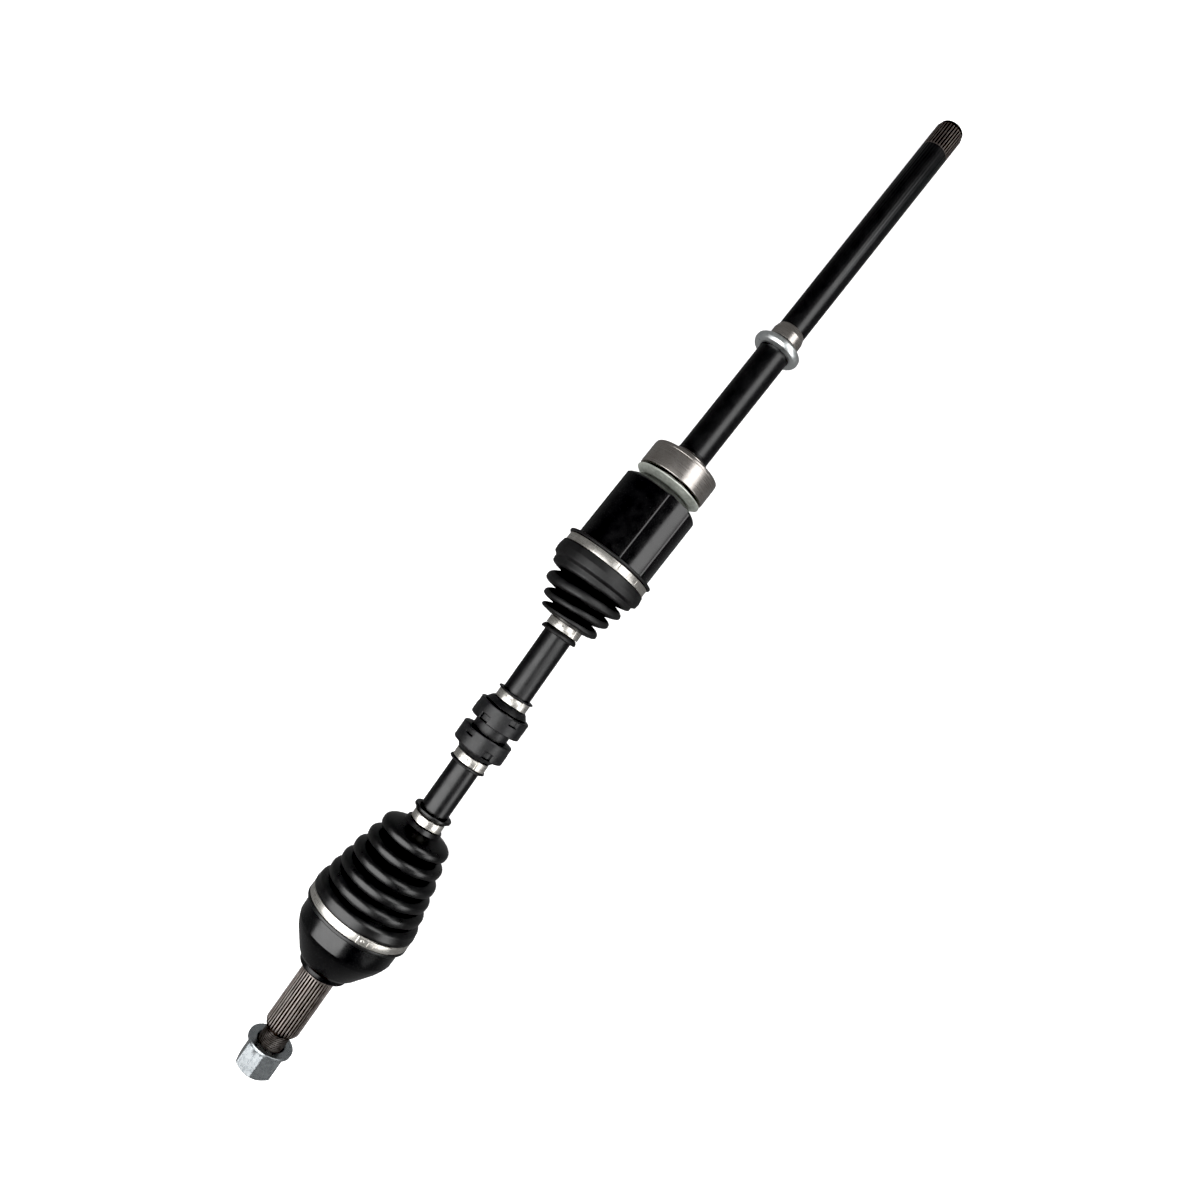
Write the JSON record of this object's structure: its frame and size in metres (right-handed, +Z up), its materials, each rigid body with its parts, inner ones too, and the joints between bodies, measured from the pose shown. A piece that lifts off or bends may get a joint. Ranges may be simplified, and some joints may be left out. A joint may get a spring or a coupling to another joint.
{
  "type": "cv axle",
  "caption": "Front drive axle with a ball joint and a tripod joint under rubber boots, a vibration damper and a support bearing on its long inboard shaft.",
  "frame": {"origin": "on the floor, under the middle of the axle's box", "axes": "+X runs from the wheel end to the gearbox end, +Z is up from the floor that the axle lies on"},
  "size_m": [0.9644, 0.095, 0.0917],
  "materials": {
    "black_paint": "gloss black paint",
    "boot_rubber": "satin black",
    "damper_rubber": "matte black",
    "clamp_steel": "bright stainless",
    "ground_steel": "ground",
    "zinc_plate": "bright zinc plate",
    "olive_zinc": "olive zinc plate"
  },
  "bodies": {
    "inboard_shaft": {"tripod_housing": "black_paint", "intermediate_shaft": "black_paint", "inner_boot_large_clamp": "clamp_steel", "dust_shield": "olive_zinc", "bearing_inner_ring": "ground_steel", "bearing_retaining_ring": "ground_steel", "seal_deflector_ring": "zinc_plate"},
    "bearing_ring": {"bearing_outer_ring": "ground_steel", "bearing_seal_outboard": "boot_rubber", "bearing_seal_inboard": "boot_rubber"},
    "bearing_balls": {"bearing_ball_set": "ground_steel"},
    "inner_boot": {"inner_boot": "boot_rubber"},
    "bar": {"axle_bar": "black_paint", "outer_inner_race": "ground_steel", "outer_race_clip": "ground_steel", "outer_boot_small_clamp": "clamp_steel", "damper_sleeve": "damper_rubber", "damper_mass_outboard": "damper_rubber", "damper_mass_inboard": "damper_rubber", "damper_clamp_outboard": "clamp_steel", "damper_clamp_inboard": "clamp_steel", "inner_boot_small_clamp": "clamp_steel", "tripod_spider": "ground_steel", "spider_snap_ring": "ground_steel", "tripod_needle_set_1": "ground_steel", "tripod_needle_set_2": "ground_steel", "tripod_needle_set_3": "ground_steel", "tripod_roller_clip_1": "ground_steel", "tripod_roller_clip_2": "ground_steel", "tripod_roller_clip_3": "ground_steel"},
    "roller_1": {"tripod_roller_1": "ground_steel"},
    "roller_2": {"tripod_roller_2": "ground_steel"},
    "roller_3": {"tripod_roller_3": "ground_steel"},
    "outer_cage": {"outer_cage": "ground_steel", "outer_ball_1": "ground_steel", "outer_ball_2": "ground_steel", "outer_ball_3": "ground_steel", "outer_ball_4": "ground_steel", "outer_ball_5": "ground_steel", "outer_ball_6": "ground_steel"},
    "outer_boot": {"outer_boot": "boot_rubber"},
    "wheel_stub": {"outer_joint_housing": "black_paint", "axle_nut": "zinc_plate", "outer_boot_large_clamp": "clamp_steel"}
  },
  "joints": [
    {"name": "inner_plunge", "type": "slide", "parent": "inboard_shaft", "child": "inner_boot", "axis": [0.9975, -0.0354, -0.0617], "range_m": [0, 0.02], "deforming": ["inner_boot"]},
    {"name": "inner_bend", "type": "hinge", "parent": "inner_boot", "child": "bar", "pos_m": [0.02621, 0.00546, 0.04067], "axis": [0.0617, -0.0022, 0.9981], "range_deg": [-18, 12]},
    {"name": "outer_bend_first_half", "type": "hinge", "parent": "bar", "child": "outer_cage", "pos_m": [-0.34918, -0.00188, 0.04605], "axis": [0.0143, 0.0003, 0.9999], "range_deg": [-20, 20]},
    {"name": "outer_bend_second_half", "type": "hinge", "parent": "outer_cage", "child": "outer_boot", "pos_m": [-0.34918, -0.00188, 0.04605], "axis": [0.0143, 0.0003, 0.9999], "range_deg": [-20, 20], "deforming": ["outer_boot"]},
    {"name": "outer_tilt", "type": "hinge", "parent": "outer_boot", "child": "wheel_stub", "pos_m": [-0.34918, -0.00188, 0.04605], "axis": [-0.0195, 0.9998, 0], "range_deg": [-15, 15]},
    {"name": "bearing_ring_spin", "type": "hinge", "parent": "inboard_shaft", "child": "bearing_ring", "pos_m": [0.09903, 0.00288, 0.03617], "axis": [0.9975, -0.0354, -0.0617], "continuous": true},
    {"name": "bearing_ball_spin", "type": "hinge", "parent": "inboard_shaft", "child": "bearing_balls", "pos_m": [0.09903, 0.00288, 0.03617], "axis": [0.9975, -0.0354, -0.0617], "continuous": true},
    {"name": "roller_1_spin", "type": "hinge", "parent": "bar", "child": "roller_1", "pos_m": [0.02626, 0.01526, 0.05765], "axis": [0.0026, 0.5001, 0.8659], "range_deg": [-90, 90]},
    {"name": "roller_2_spin", "type": "hinge", "parent": "bar", "child": "roller_2", "pos_m": [0.0266, -0.01414, 0.04067], "axis": [0.0195, -0.9998, 0], "range_deg": [-90, 90]},
    {"name": "roller_3_spin", "type": "hinge", "parent": "bar", "child": "roller_3", "pos_m": [0.02578, 0.01525, 0.0237], "axis": [-0.0222, 0.4997, -0.8659], "range_deg": [-90, 90]}
  ],
  "couplings": [
    {"joint": "outer_bend_second_half", "follows": "outer_bend_first_half", "ratio": 1},
    {"joint": "bearing_ball_spin", "follows": "bearing_ring_spin", "ratio": 0.574},
    {"joint": "roller_1_spin", "follows": "inner_plunge", "rad_per_m": 67.1},
    {"joint": "roller_2_spin", "follows": "inner_plunge", "rad_per_m": 67.1},
    {"joint": "roller_3_spin", "follows": "inner_plunge", "rad_per_m": 67.1}
  ]
}
